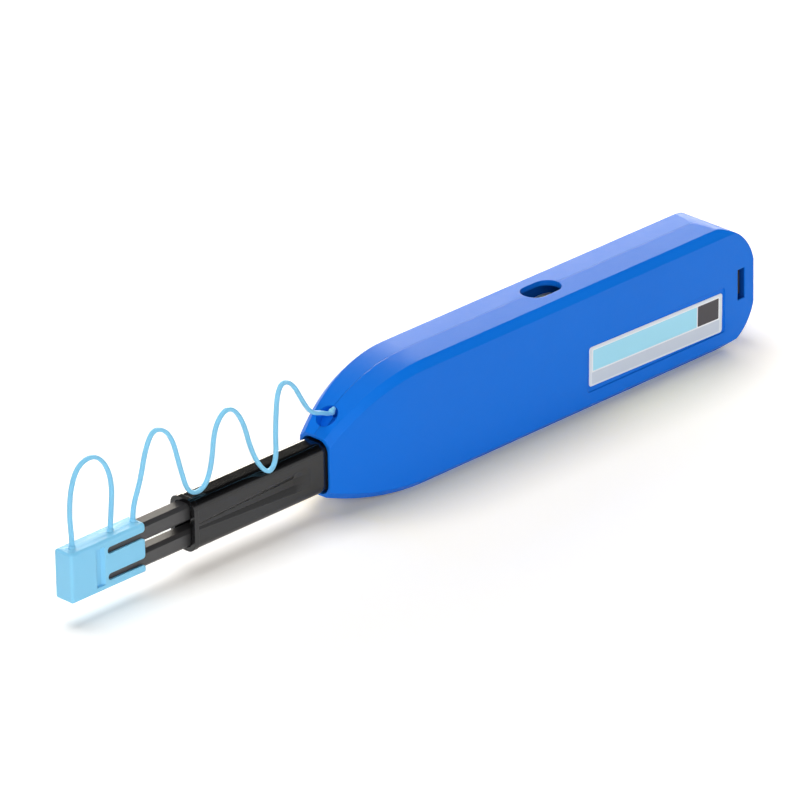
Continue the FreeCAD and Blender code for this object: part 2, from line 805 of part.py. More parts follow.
# The rack: one straight-sided tooth, then its row towards the nose.
tooth = new_sketch(carriage, "rack_tooth", "XZ_Plane", -s.gear_near)
lean = math.tan(math.radians(20))
tooth_half = tooth_pitch / 4 - s.backlash / 2
base_half = tooth_half + rack_dedendum * lean
crest_half = tooth_half - rack_addendum * lean
tooth_x = s.take_up_x + tooth_pitch * 2.5
outline(tooth, [
    (tooth_x - base_half, rack_line - rack_dedendum - 0.05),
    (tooth_x + base_half, rack_line - rack_dedendum - 0.05),
    (tooth_x + base_half, rack_line - rack_dedendum),
    (tooth_x + crest_half, rack_line + rack_addendum),
    (tooth_x - crest_half, rack_line + rack_addendum),
    (tooth_x - base_half, rack_line - rack_dedendum),
])
first_tooth = pad(carriage, tooth, s.gear_width, "-")
teeth = carriage.newObject("PartDesign::LinearPattern", "rack_teeth")
teeth.Originals = [first_tooth]
teeth.Direction = (tooth, ["H_Axis"])
teeth.Reversed = True
teeth.Length = (s.rack_teeth.value - 1) * tooth_pitch.value
teeth.Occurrences = int(s.rack_teeth.value)
bind(teeth, "Length", (s.rack_teeth - 1) * tooth_pitch)
bind(teeth, "Occurrences", s.rack_teeth)
carriage.Tip = teeth
doc.recompute()
for word, side in (("upper", 1), ("lower", -1)):
    height = s.nose_height + side * s.prong_pitch / 2
    socket = new_sketch(carriage, f"prong_socket_{word}", "YZ_Plane", plug_front - 1)
    wide = s.prong_width / 2 + s.fit_gap
    high = s.prong_height / 2 + s.fit_gap
    outline(socket, box_corners(-wide, height - high, wide, height + high))
    pocket(carriage, socket, s.prong_seat + 1, "+")
    passage = new_sketch(carriage, f"thread_passage_{word}", "YZ_Plane", plug_front)
    circle(passage, 0, height, s.prong_rear_bore)
    pocket(carriage, passage, flange_rear - plug_front + 1, "+")
spigot = new_sketch(carriage, "spring_spigot", "YZ_Plane", flange_rear)
circle(spigot, s.spring_side, s.nose_height, s.spigot_radius)
pad(carriage, spigot, s.spigot_length)



# ---------------------------------------------------------------- dust cap with its carry loop

cap_front = tip_front - s.thread_thickness - s.cap_front_wall
cap_rear = cap_front + s.cap_length
cap_top = s.nose_height + s.cap_half_height

cap = new_body("cap")
form = new_sketch(cap, "cap_form", "YZ_Plane", cap_front)
outline(form, box_corners(-s.cap_half_width, s.nose_height - s.cap_half_height,
                          s.cap_half_width, cap_top))
pad(cap, form, s.cap_length)
fillet(cap, s.cap_round, lambda points: any(abs(p.x - cap_rear.value) > 0.01 for p in points))
for word, side in (("upper", 1), ("lower", -1)):
    height = s.nose_height + side * s.prong_pitch / 2
    wide = s.prong_width / 2 + s.cap_fit
    high = s.prong_height / 2 + s.cap_fit
    socket = new_sketch(cap, f"cap_socket_{word}", "YZ_Plane", prong_front - s.cap_fit * 2)
    outline(socket, box_corners(-wide, height - high, wide, height + high, 0.3))
    pocket(cap, socket, s.cap_length, "+")
    cavity = new_sketch(cap, f"cap_tip_cavity_{word}", "YZ_Plane", tip_front - s.thread_thickness - 0.4)
    circle(cavity, 0, height, s.tip_radius + s.thread_thickness + 0.15)
    pocket(cap, cavity, s.cap_length, "+")
    slot = new_sketch(cap, f"cap_slot_{word}", "XZ_Plane")
    outline(slot, box_corners(cap_rear - s.cap_slot_length, height - s.cap_slot_height / 2,
                              cap_rear + 2, height + s.cap_slot_height / 2,
                              s.cap_slot_height / 2 - 0.001))
    pocket(cap, slot, 4 * s.cap_half_width, "both")


def slot_mouth(points):
    """The short upright edges where the slots leave the cap's rear."""
    at_rear = all(abs(p.x - cap_rear.value) < 0.01 for p in points)
    across = abs(points[0].z - points[2].z) < 0.001
    return at_rear and across and all(abs(p.y) > s.prong_width.value / 2 for p in points)


fillet(cap, s.cap_finger_round, slot_mouth)
for word, side in (("near", -1), ("far", 1)):
    grip = new_sketch(cap, f"cap_grip_{word}", "XY_Plane", s.nose_height)
    start = cap_front + s.grip_from
    outline(grip, [
        (start, side * (s.cap_half_width + 1)),
        (start, side * (s.cap_half_width - s.grip_depth)),
        (start + s.grip_width, side * (s.cap_half_width - s.grip_depth)),
        (start + s.grip_width + s.grip_ramp, side * s.cap_half_width),
        (start + s.grip_width + s.grip_ramp, side * (s.cap_half_width + 1)),
    ])
    pocket(cap, grip, 2 * s.grip_half_height, "both")

# The loop's corners between its roots, as shares of its span and height, and its bend radii as
# shares of its height.
root_sink = s.strand_half * 0.7
front_root = cap_front + s.loop_front
rear_root = front_root + s.loop_span
loop_corners = [(front_root, cap_top - root_sink)]
for along, up, bend in (
    (-0.054, 0.396, 1.3), (0.131, 0.895, 0.26), (0.716, 1.0, 0.195), (1.045, 0.712, 0.576),
    (1.135, 0.504, 0.476),
):
    loop_corners.append(
        (front_root + along * s.loop_span, cap_top + up * s.loop_height, bend * s.loop_height))
loop_corners.append((rear_root, cap_top - root_sink))
loop_path = new_sketch(cap, "loop_path", "XZ_Plane")
outline(loop_path, loop_corners, closed=False)
loop_wire = new_sketch(cap, "loop_wire", "XY_Plane", cap_top - root_sink)
outline(loop_wire, box_corners(front_root - s.strand_half, -s.strand_half,
                               front_root + s.strand_half, s.strand_half))
loop = cap.newObject("PartDesign::AdditivePipe", "loop")
loop.Profile = loop_wire
loop.Spine = (loop_path, [])
doc.recompute()
tether_root = cap_rear - s.tether_root_inset
for number, root in enumerate((front_root, rear_root, tether_root)):
    flare = new_sketch(cap, f"strand_root_{number}", "XZ_Plane")
    bind(flare, "AttachmentOffset.Base.x", root)
    outline(flare, [
        (0, cap_top - 0.3), (s.root_radius, cap_top - 0.3), (s.root_radius, cap_top + 0.15),
        (s.strand_half, cap_top + s.root_height), (0, cap_top + s.root_height),
    ])
    turned(cap, flare, "V_Axis")


# ---------------------------------------------------------------- frame inside the housing

frame = new_body("frame")
side_view = new_sketch(frame, "frame_side", "XZ_Plane")
floor_z = s.wall + s.frame_gap
outline(side_view, [
    (s.frame_front_x, floor_z), (s.frame_rear_x, floor_z),
    (s.frame_rear_x, s.frame_top, s.frame_corner), (s.frame_front_x, s.frame_top, s.frame_corner),
])
pad(frame, side_view, 2 * s.frame_half_width, "both")
inner_half = s.frame_half_width - s.frame_wall
for word, low_x, high_x in (
    ("front", s.frame_front_x - 1, s.bridge_x),
    ("rear", s.bridge_x + s.bridge_thickness, s.frame_rear_x - s.frame_wall * 2),
):
    bay = new_sketch(frame, f"frame_bay_{word}", "XZ_Plane")
    outline(bay, box_corners(low_x, floor_z + s.frame_floor, high_x, s.frame_top + 1))
    pocket(frame, bay, 2 * inner_half, "both")
gate = new_sketch(frame, "rack_gate", "YZ_Plane", s.bridge_x - 1)
gate_gap = 0.35
outline(gate, box_corners(-inner_half, rack_line - rack_dedendum - s.rack_back - gate_gap,
                          gear_far + gate_gap, rack_line + rack_addendum + gate_gap))
pocket(frame, gate, s.bridge_thickness + 2, "+")
spigot = new_sketch(frame, "bridge_spigot", "YZ_Plane", s.bridge_x)
circle(spigot, s.spring_side, s.nose_height, s.spigot_radius)
pad(frame, spigot, s.spigot_length, "-")
for word, axle_x, near_face in (
    ("supply", s.supply_x, s.reel_near - 0.3),
    ("take_up", s.take_up_x, s.gear_near - s.bore_gap),
):
    near_boss = new_sketch(frame, f"near_boss_{word}", "XZ_Plane", inner_half + 0.1)
    circle(near_boss, axle_x, s.reel_height, s.boss_radius)
    pad(frame, near_boss, inner_half + 0.1 + near_face, "-")
    far_boss = new_sketch(frame, f"far_boss_{word}", "XZ_Plane", -inner_half - 0.1)
    circle(far_boss, axle_x, s.reel_height, s.boss_radius)
    pad(frame, far_boss, inner_half + 0.1 - s.reel_far - s.bore_gap, "+")
    axle_hole = new_sketch(frame, f"axle_hole_{word}", "XZ_Plane")
    circle(axle_hole, axle_x, s.reel_height, s.axle_radius + s.seat_gap)
    pocket(frame, axle_hole, 4 * s.frame_half_width, "both")
beam = new_sketch(frame, "tab_beam", "XZ_Plane")
outline(beam, box_corners(s.frame_rear_x - 0.1, s.tab_low, s.tab_x + s.tab_length, s.tab_high))
pad(frame, beam, 5, "both")
tab = new_sketch(frame, "rear_tabs", "XZ_Plane")
outline(tab, box_corners(s.tab_x, s.tab_low, s.tab_x + s.tab_length, s.tab_high))
pad(frame, tab, 2 * s.tab_reach, "both")

axle_length = 2 * s.frame_half_width
pin("supply_axle", s.axle_radius, axle_length, s.supply_x, as_size(0), s.reel_height)
pin("take_up_axle", s.axle_radius, axle_length, s.take_up_x, as_size(0), s.reel_height)


# ---------------------------------------------------------------- reels and their rolls of thread


def make_reel(word, axle_x, flange_radius, roll_radius, clutch):
    """A flanged reel that turns on its axle, and the thread wound on it."""
    reel = new_body(f"{word}_reel", axle_x, 0, s.reel_height)
    profile = new_sketch(reel, f"{word}_reel_profile", "XY_Plane")
    bore = s.axle_radius + s.bore_gap
    near_bore = s.clutch_bore if clutch else bore
    recess_end = s.reel_near + s.clutch_depth
    outline(profile, [
        (near_bore, s.reel_near),
        (flange_radius, s.reel_near),
        (flange_radius, s.reel_near + s.flange_thickness),
        (s.hub_radius, s.reel_near + s.flange_thickness),
        (s.hub_radius, s.reel_far - s.flange_thickness),
        (flange_radius, s.reel_far - s.flange_thickness),
        (flange_radius, s.reel_far),
        (bore, s.reel_far),
    ] + ([(bore, recess_end), (near_bore, recess_end)] if clutch else []))
    turned(reel, profile, "V_Axis")
    window = new_sketch(reel, f"{word}_flange_hole", "XZ_Plane", -s.reel_far - 1)
    circle(window, (s.hub_radius + flange_radius) / 2, 0, s.flange_hole)
    first = pocket(reel, window, s.reel_far - s.reel_near + 2, "+")
    ring = reel.newObject("PartDesign::PolarPattern", f"{word}_flange_holes")
    ring.Originals = [first]
    ring.Axis = (window, ["N_Axis"])
    ring.Angle = 360
    ring.Occurrences = 3
    reel.Tip = ring
    doc.recompute()
    roll = new_body(f"{word}_thread", axle_x, 0, s.reel_height)
    section = new_sketch(roll, f"{word}_thread_profile", "XY_Plane")
    outline(section, box_corners(s.hub_radius, s.reel_near + s.flange_thickness,
                                 roll_radius, s.reel_far - s.flange_thickness))
    turned(roll, section, "V_Axis")


make_reel("supply", s.supply_x, s.supply_flange, s.supply_roll, False)
make_reel("take_up", s.take_up_x, s.take_up_flange, s.take_up_roll, True)

brake = new_body("brake_washer", s.supply_x, 0, s.reel_height)
ring = new_sketch(brake, "brake_ring", "XZ_Plane", -s.reel_near + s.bore_gap)
circle(ring, 0, 0, s.boss_radius)
circle(ring, 0, 0, s.axle_radius + s.bore_gap)
pad(brake, ring, 0.3 - 2 * s.bore_gap)


# ---------------------------------------------------------------- drive pinion


def involute_flank(base_radius, from_radius, to_radius, steps=3):
    """Points along an involute, as (radius, angle turned from its start on the base circle)."""
    points = []
    for k in range(steps + 1):
        radius = from_radius + (to_radius - from_radius) * k / steps
        roll = math.sqrt(max((radius / base_radius) ** 2 - 1, 0))
        points.append((radius, roll - math.atan(roll)))
    return points


def pinion_shape():
    """A spur gear about the Y axis, with one tooth pointing straight down, its hub and its bore."""
    count = int(SIZES["pinion_teeth"])
    module = SIZES["tooth_module"]
    pitch = module * count / 2
    base = pitch * math.cos(math.radians(20))
    root = pitch - 1.15 * module
    tip = pitch + 0.88 * module
    at_pitch = math.sqrt((pitch / base) ** 2 - 1)
    half_tooth = math.pi / (2 * count) - SIZES["backlash"] / (2 * pitch)
    half_base = half_tooth + at_pitch - math.atan(at_pitch)
    flank = [(radius, half_base - turn) for radius, turn in involute_flank(base, base, tip)]
    near, width = SIZES["gear_near"], SIZES["gear_width"]

    def at(radius, angle):
        return FreeCAD.Vector(radius * math.sin(angle), near, -radius * math.cos(angle))

    edges = []
    for k in range(count):
        middle = 2 * math.pi * k / count
        rise = [at(root, middle - half_base)] + [at(r, middle - a) for r, a in flank]
        fall = [at(r, middle + a) for r, a in reversed(flank)] + [at(root, middle + half_base)]
        following = at(root, middle + 2 * math.pi / count - half_base)
        points = rise + fall + [following]
        edges += [Part.makeLine(a, b) for a, b in zip(points, points[1:])]
    gear = Part.Face(Part.Wire(edges)).extrude(FreeCAD.Vector(0, width, 0))
    along = FreeCAD.Vector(0, 1, 0)
    hub_start = FreeCAD.Vector(0, near, 0)
    hub_end = SIZES["reel_near"] + SIZES["clutch_depth"] - SIZES["bore_gap"]
    hub = Part.makeCylinder(SIZES["pinion_hub"], hub_end - near, hub_start, along)
    bore = Part.makeCylinder(SIZES["axle_radius"] + SIZES["bore_gap"], hub_end - near, hub_start, along)
    return gear.fuse(hub).cut(bore)


pinion = doc.addObject("Part::Feature", "drive_pinion")
pinion.Label = "drive_pinion"
pinion.Shape = pinion_shape()
bind(pinion, "Placement.Base.x", s.take_up_x)
bind(pinion, "Placement.Base.z", s.reel_height)
parts.append(pinion)

# The wrap spring that lets the pinion turn the take-up reel one way only.
clutch_mean = (s.pinion_hub + s.clutch_bore) / 2
coil_spring("clutch_spring", clutch_mean, s.clutch_wire, s.clutch_depth - 2 * s.bore_gap, s.clutch_turns,
            s.take_up_x, s.reel_near + s.bore_gap, s.reel_height, axis="Y")

# The return spring, between the carriage and the frame's bridge.
coil_spring("return_spring", s.spring_radius, s.spring_wire, s.bridge_x - flange_rear - 2 * s.fit_gap,
            s.spring_turns, flange_rear + s.fit_gap, s.spring_side, s.nose_height)


# ---------------------------------------------------------------- tether strand, moulded with the cap

# The line that the springy strand was moulded to, from the cap to its knob in the housing's hole, in the
# housing's frame.
TETHER = [
    (-129.2, 0.0, 18.2),
    (-129.2, 0.0, 20.6),
    (-126.7, 0.0, 26.0),
    (-124.9, 0.0, 33.2),
    (-122.2, 0.0, 37.2),
    (-117.6, -0.3, 34.4),
    (-115.4, -0.6, 25.1),
    (-113.4, -0.8, 18.4),
    (-109.2, -1.0, 18.2),
    (-106.5, -0.9, 23.4),
    (-105.2, -0.8, 31.9),
    (-101.0, -0.8, 35.3),
    (-97.0, -0.9, 31.2),
    (-95.2, -2.0, 21.6),
    (-92.9, -4.1, 17.0),
    (-89.6, -3.6, 18.7),
    (-88.2, -2.0, 25.8),
    (-86.0, -0.8, 35.0),
    (-81.2, 0.0, 34.3),
    (-77.1, 0.0, 26.7),
    (-74.2, 0.0, 24.2),
    (-69.5, 0.0, 22.2),
]


def tether_wire():
    """Straight runs with the largest tangent arcs that their lengths allow."""
    points = [FreeCAD.Vector(*p) for p in TETHER]
    edges = []
    start = points[0]
    radii = []
    for before, corner, after in zip(points, points[1:], points[2:]):
        shorter = min(before.distanceToPoint(corner), corner.distanceToPoint(after))
        back = (before - corner).normalize()
        ahead = (after - corner).normalize()
        turn = math.pi - back.getAngle(ahead)
        radius = 0.45 * shorter / math.tan(turn / 2)
        arc, arc_start, arc_end = corner_arc(before, corner, after, radius)
        edges += [Part.makeLine(start, arc_start), arc.toShape()]
        start = arc_end
        radii.append(round(radius, 1))
    edges.append(Part.makeLine(start, points[-1]))
    return Part.Wire(edges), radii


route, bend_radii = tether_wire()
flat = SIZES["strand_half"]
root_x, root_y, root_z = TETHER[0]
section = [(-flat, -flat), (flat, -flat), (flat, flat), (-flat, flat)]
ring = [FreeCAD.Vector(root_x + x, root_y + y, root_z) for x, y in section]
tube = route.makePipeShell([Part.makePolygon(ring + ring[:1])], True, False)
# The knob that lies in the hole, and the tail that the two shells trap.
lean = FreeCAD.Rotation(FreeCAD.Vector(0, 1, 0), SIZES["tether_hole_tilt"])
hole_centre = FreeCAD.Vector(SIZES["tether_hole_x"], 0, SIZES["tether_hole_z"])
knob_place = hole_centre + lean.multVec(FreeCAD.Vector(SIZES["knob_offset"], 0, -SIZES["knob_sink"]))
inward = lean.multVec(FreeCAD.Vector(0, 0, -1))
tail_length = SIZES["tether_hole_depth"] + SIZES["tail_depth"] - SIZES["knob_sink"] - SIZES["bore_gap"]
knob = Part.makeSphere(SIZES["knob_radius"], knob_place)
tail = Part.makeCylinder(SIZES["tail_radius"], tail_length, knob_place, inward)
tether = doc.addObject("Part::Feature", "tether")
tether.Label = "tether"
tether.Shape = tube.fuse(knob).fuse(tail)
parts.append(tether)
strand_area = 4 * flat ** 2
print("tether length", round(route.Length, 1), "bend radii", bend_radii)
print("tether volume", round(tube.Volume, 2), "section times length", round(strand_area * route.Length, 2))


# ---------------------------------------------------------------- checks and files

doc.recompute()
for thing in doc.Objects:
    if "Invalid" in thing.State or "Error" in thing.State:
        raise RuntimeError(f"{thing.Name} failed: {thing.State}")
for part in parts:
    if part.Shape.isNull() or not part.Shape.isValid():
        raise RuntimeError(f"{part.Label} has no valid shape")

os.makedirs("parts", exist_ok=True)
for part in parts:
    part.Shape.exportStep(f"parts/{part.Label}.step")
print(len(parts), "sub-parts written")
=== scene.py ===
# %% [markdown]
# # A fibre connector cleaning pen
#
# The pen's solid parts come ready made as a fixed frame: two housing shells, a sliding nose, a dust
# cap, reels and springs. This lesson gives each of them a finish, replaces the pieces that need a
# finer shape, and sets up a small studio round them. All lengths are in metres.

# %% Load the frame
import json
import math

import bmesh
import bpy
from mathutils import Euler, Matrix, Vector


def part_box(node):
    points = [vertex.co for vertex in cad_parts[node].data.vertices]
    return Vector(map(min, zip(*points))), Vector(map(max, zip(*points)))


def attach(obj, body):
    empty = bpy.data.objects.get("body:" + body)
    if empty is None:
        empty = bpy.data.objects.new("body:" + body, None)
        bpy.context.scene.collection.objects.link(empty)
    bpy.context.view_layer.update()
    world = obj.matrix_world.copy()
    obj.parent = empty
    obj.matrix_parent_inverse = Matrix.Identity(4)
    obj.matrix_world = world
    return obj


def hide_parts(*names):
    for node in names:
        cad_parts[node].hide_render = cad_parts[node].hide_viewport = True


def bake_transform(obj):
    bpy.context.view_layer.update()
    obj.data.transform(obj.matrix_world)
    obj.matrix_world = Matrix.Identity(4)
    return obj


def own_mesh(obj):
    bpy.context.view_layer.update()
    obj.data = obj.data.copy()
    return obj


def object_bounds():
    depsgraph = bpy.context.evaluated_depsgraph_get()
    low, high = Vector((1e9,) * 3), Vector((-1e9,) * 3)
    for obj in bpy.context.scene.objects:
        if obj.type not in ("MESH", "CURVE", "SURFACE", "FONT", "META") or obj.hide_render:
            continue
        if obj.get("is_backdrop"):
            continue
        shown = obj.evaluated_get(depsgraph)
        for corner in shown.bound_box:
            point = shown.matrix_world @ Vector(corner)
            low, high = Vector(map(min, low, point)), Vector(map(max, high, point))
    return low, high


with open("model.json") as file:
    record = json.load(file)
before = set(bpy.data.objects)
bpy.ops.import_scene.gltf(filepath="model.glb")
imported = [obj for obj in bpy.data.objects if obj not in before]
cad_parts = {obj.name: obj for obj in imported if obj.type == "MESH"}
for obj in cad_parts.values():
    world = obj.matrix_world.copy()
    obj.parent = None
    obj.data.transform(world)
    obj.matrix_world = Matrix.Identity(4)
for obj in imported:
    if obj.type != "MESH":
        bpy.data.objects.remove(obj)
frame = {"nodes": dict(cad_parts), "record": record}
cad_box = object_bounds()
MM = 0.001
print("nodes:", ", ".join(sorted(frame["nodes"])))

# %% [markdown]
# ## Camera
#
# The pen is seen from high on its left front with a very long lens, so that parallel edges stay almost
# parallel. A camera is easiest to reason about as a direction: an azimuth round the Z axis, an
# elevation above the floor, a small roll, and the point that it aims at.

# %% Camera
AZIMUTH, ELEVATION, ROLL = math.radians(-44.742), math.radians(25.141), math.radians(-1.0355)
AIM = Vector((-87.647, -40.029, 44.541)) * MM
DISTANCE = 1.85783
LENS, SENSOR = 392.34, 36.0


def place_camera():
    turn = (Euler((0, 0, AZIMUTH)).to_matrix()
            @ Euler((math.pi / 2 - ELEVATION, 0, 0)).to_matrix()
            @ Euler((0, 0, ROLL)).to_matrix())
    camera = bpy.data.objects.new("camera", bpy.data.cameras.new("camera"))
    camera.data.lens = LENS
    camera.data.sensor_width = SENSOR
    camera.matrix_world = Matrix.Translation(AIM + turn.col[2] * DISTANCE) @ turn.to_4x4()
    bpy.context.scene.collection.objects.link(camera)
    bpy.context.scene.camera = camera
    return camera


camera = place_camera()
print("camera at", [round(v, 3) for v in camera.matrix_world.translation])

# %% [markdown]
# ## Writing shader maths as sums
#
# A material is a graph of nodes. Written out link by link it is long and hard to read, so three small
# classes do the wiring. The first is `Value`: it wraps one output of a node, and turns a sum such as
# `1 - mask` into a Math node.

# %% Values


class Value:
    """One output of a node, which can stand in a sum."""

    def __init__(self, finish, socket):
        self.finish = finish
        self.socket = socket

    def math(self, operation, *values):
        inputs = {k: v for k, v in enumerate(values)}
        return self.finish.node("ShaderNodeMath", {"operation": operation}, inputs)

    def __add__(self, other):
        return self.math("ADD", self, other)

    def __radd__(self, other):
        return self.math("ADD", other, self)

    def __sub__(self, other):
        return self.math("SUBTRACT", self, other)

    def __rsub__(self, other):
        return self.math("SUBTRACT", other, self)

    def __mul__(self, other):
        return self.math("MULTIPLY", self, other)

    def __rmul__(self, other):
        return self.math("MULTIPLY", other, self)

    def __truediv__(self, other):
        return self.math("DIVIDE", self, other)

    def over(self, edge):
        """1 where the value is larger than the edge, 0 elsewhere."""
        return self.math("GREATER_THAN", self, edge)

    def size(self):
        return self.math("ABSOLUTE", self)

    def largest(self, other):
        return self.math("MAXIMUM", self, other)


print("a value knows", ", ".join(name for name in vars(Value) if not name.startswith("_")))

# %% [markdown]
# ## Adding nodes
#
# `Graph` adds any other node, with its settings first and then the numbers or links of its inputs. It
# serves materials and the world alike.

# %% Graphs


def set_stops(ramp, stops):
    """Gives a colour ramp its stops: each a position and a grey."""
    while len(ramp.elements) < len(stops):
        ramp.elements.new(1.0)
    for element, (position, grey) in zip(ramp.elements, stops):
        element.position = position
        element.color = (grey, grey, grey, 1.0)


class Graph:
    """The nodes of a material or of the world."""

    def __init__(self, tree):
        self.tree = tree

    def node(self, kind, settings=None, inputs=None, output=0):
        """Adds a node: its settings first, then the numbers or links of its inputs."""
        node = self.tree.nodes.new(kind)
        for name, setting in (settings or {}).items():
            if name == "stops":
                set_stops(node.color_ramp, setting)
            else:
                setattr(node, name, setting)
        for name, value in (inputs or {}).items():
            self.feed(node.inputs[name], value)
        return Value(self, node.outputs[output])

    def feed(self, socket, value):
        if isinstance(value, Value):
            self.tree.links.new(value.socket, socket)
        else:
            socket.default_value = value

    def blend(self, amount, first, second):
        """A colour between two others."""
        return self.node("ShaderNodeMix", {"data_type": "RGBA", "clamp_factor": True},
                         {0: amount, 6: first, 7: second}, output=2)

    def split(self, vector):
        """The X, Y and Z of a vector."""
        node = self.tree.nodes.new("ShaderNodeSeparateXYZ")
        self.feed(node.inputs[0], vector)
        return [Value(self, socket) for socket in node.outputs]


print("a graph knows", ", ".join(name for name in vars(Graph) if not name.startswith("_")))

# %% [markdown]
# ## One finish, one material
#
# `Finish` is the graph of one material. It starts with the Principled shader and the place of a point
# on the part, and adds what nearly every finish needs: noise, relief and eased edges. Colours are
# given as a screen shows them, and turned into linear light.

# %% Finishes


class Finish(Graph):
    """A material that starts with one shader, and reads where a point is on the part."""

    def __init__(self, name):
        self.material = bpy.data.materials.new(name)
        self.material.use_nodes = True
        super().__init__(self.material.node_tree)
        self.shader = self.tree.nodes["Principled BSDF"]
        self.output = self.tree.nodes["Material Output"]
        self.place = self.node("ShaderNodeTexCoord", output="Object")

    def noise(self, scale, detail=2.0, roughness=0.5, place=None):
        return self.node("ShaderNodeTexNoise", {"noise_dimensions": "3D"},
                         {"Vector": place or self.place, "Scale": scale, "Detail": detail,
                          "Roughness": roughness})

    def bump(self, height, depth, strength=1.0, normal=None):
        inputs = {"Strength": strength, "Distance": depth, "Height": height}
        if normal is not None:
            inputs["Normal"] = normal
        return self.node("ShaderNodeBump", None, inputs)

    def rounded(self, radius):
        """The surface's normal with every sharp edge eased, as a mould eases it."""
        return self.node("ShaderNodeBevel", {"samples": 6}, {"Radius": radius})

    def set(self, **inputs):
        """Feeds the shader's own sockets; underscores in a name stand for spaces."""
        for name, value in inputs.items():
            self.feed(self.shader.inputs[name.replace("_", " ")], value)
        return self


def colour(red, green, blue):
    """A colour given as a screen shows it, turned into the linear numbers that a shader uses."""
    return tuple(((c / 255 + 0.055) / 1.055) ** 2.4 if c > 10 else c / 255 / 12.92
                 for c in (red, green, blue)) + (1.0,)


print("mid grey in linear light:", round(colour(128, 128, 128)[0], 3))

# %% [markdown]
# ## Moulded plastic
#
# Most of the pen is injection moulded. Such plastic is never one flat colour: the tool leaves a very
# fine grain that breaks up the gloss, the shade drifts a little where the melt flowed, and the edges
# are eased. One function with a few choices covers the blue housing, the soft light blue cap, the
# black nose and the white gears, because the real finishes differ only in those choices.
#
# The sleeve's top and the floors of its grooves carry a painted shade, darker than its flat sides, so
# its tint also depends on how far a point lies from the middle plane.

# %% Plastic finishes
FLOW_SCALE, CLOUD_SCALE, GRAIN_SCALE = 38.0, 420.0, 9000.0
FLANK_INNER, FLANK_RAMP = 0.0028, 0.0007
# painted shade for the sleeve's top and the floors of its grooves
SLEEVE_PAINTED_SHADE = colour(6, 6, 7)


def moulded(name, tint, drift, gloss, grain, edge, grain_scale=GRAIN_SCALE):
    """A moulded plastic: its tint, a drifted tint, (low, high) roughness, grain depth, edge radius."""
    finish = Finish(name)
    flow = finish.noise(FLOW_SCALE, 3.0)
    fine = finish.noise(grain_scale, 1.0)
    cloud = finish.noise(CLOUD_SCALE, 2.0)
    low, high = gloss
    finish.tint = finish.blend(flow, tint, drift)
    finish.relief = finish.bump(fine, grain, 0.6, finish.rounded(edge))
    finish.set(Base_Color=finish.tint, Roughness=low + (high - low) * cloud, Normal=finish.relief)
    return finish


cap_blue = moulded("cap_light_blue", colour(142, 215, 250), colour(134, 209, 248), (0.4, 0.5),
                   0.00001, 0.0003)
cap_blue.set(Subsurface_Weight=0.15, Subsurface_Scale=0.001, Subsurface_Radius=(0.6, 0.9, 1.0))
sleeve_black = moulded("sleeve_black", colour(26, 26, 27), colour(31, 31, 32), (0.1, 0.16),
                       0.000004, 0.00012)
# painted shade: the top and the groove floors lie nearer the middle plane than the flat sides, and are
# darkened
unshaded_flank = (sleeve_black.split(sleeve_black.place)[1].size() - FLANK_INNER) / FLANK_RAMP
sleeve_black.set(Base_Color=sleeve_black.blend(unshaded_flank, SLEEVE_PAINTED_SHADE, sleeve_black.tint))
prong_grey = moulded("prong_dark_grey", colour(44, 43, 44), colour(50, 49, 50), (0.46, 0.56),
                     0.00001, 0.00015)
prong_grey.set(Specular_IOR_Level=1.0)
chassis_black = moulded("chassis_black", colour(20, 20, 21), colour(27, 27, 28), (0.4, 0.55),
                        0.00002, 0.0002)
gear_white = moulded("gear_white", colour(238, 236, 228), colour(230, 228, 220), (0.35, 0.45),
                     0.00001, 0.00012)
gear_white.set(Subsurface_Weight=0.2, Subsurface_Scale=0.0008)
tip_white = moulded("tip_white", colour(228, 226, 218), colour(220, 217, 208), (0.35, 0.45),
                    0.000008, 0.00008)
print("plastics ready")

# %% [markdown]
# ## The housing and its parting line
#
# The housing is two shells that meet on the middle plane. Their joint is too fine to model as a gap,
# because the two solids are flush, so the finish draws it: a line about a tenth of a millimetre wide
# along Y = 0, darker and slightly sunk. `near` turns a distance from that plane into a soft mask.
# The walls of the narrow slot in the side get a painted shade, the darkening that falls inside a deep
# cut.

# %% Housing finish
HOUSING_TINT, HOUSING_DRIFT = colour(2, 120, 232), colour(1, 114, 226)
# one dark tone for the parting line and for the painted shade on the slot's walls
HOUSING_JOINT_AND_SHADE = colour(4, 62, 150)
SEAM_HALF, SEAM_DEPTH, SEAM_SHADE = 0.00009, 0.00003, 0.15
SLOT_X, SLOT_Z = 0.0537, 0.0149
SLOT_HALF_X, SLOT_HALF_Z, SLOT_SHADE = 0.0014, 0.004, 0.85
SKIN_Y = 0.0079
HOUSING_GRAIN_SCALE = 5200.0


def near(distance, reach):
    """1 where a distance is nothing, falling to 0 at the reach."""
    return (1.0 - distance.size() / reach).largest(0.0)


housing_blue = moulded("housing_blue", HOUSING_TINT, HOUSING_DRIFT, (0.42, 0.54), 0.00003, 0.00035,
                       grain_scale=HOUSING_GRAIN_SCALE)
along, across, height = housing_blue.split(housing_blue.place)
seam = near(across, SEAM_HALF)
# painted shade: the slot's inner walls are darkened
slot_painted_shade = (near(along - SLOT_X, SLOT_HALF_X).over(0.0) * near(height - SLOT_Z, SLOT_HALF_Z).over(0.0)
             * (1.0 - across.size().over(SKIN_Y)))
housing_blue.set(
    Base_Color=housing_blue.blend(seam * SEAM_SHADE + slot_painted_shade * SLOT_SHADE, housing_blue.tint,
                                  HOUSING_JOINT_AND_SHADE),
    Normal=housing_blue.bump(1.0 - seam, SEAM_DEPTH, 0.4, housing_blue.relief),
    Specular_IOR_Level=0.22,
)
print("housing finish with its parting line")

# %% [markdown]
# ## Metal and thread
#
# The axles are ground bright, so their scratches run round the axis: stretching a noise along one
# axis gives streaks. The cleaning thread is a bundle of fine white fibres, so it is a fabric: quite
# rough, with a faint twist in its bump.

# %% Metal and thread finishes


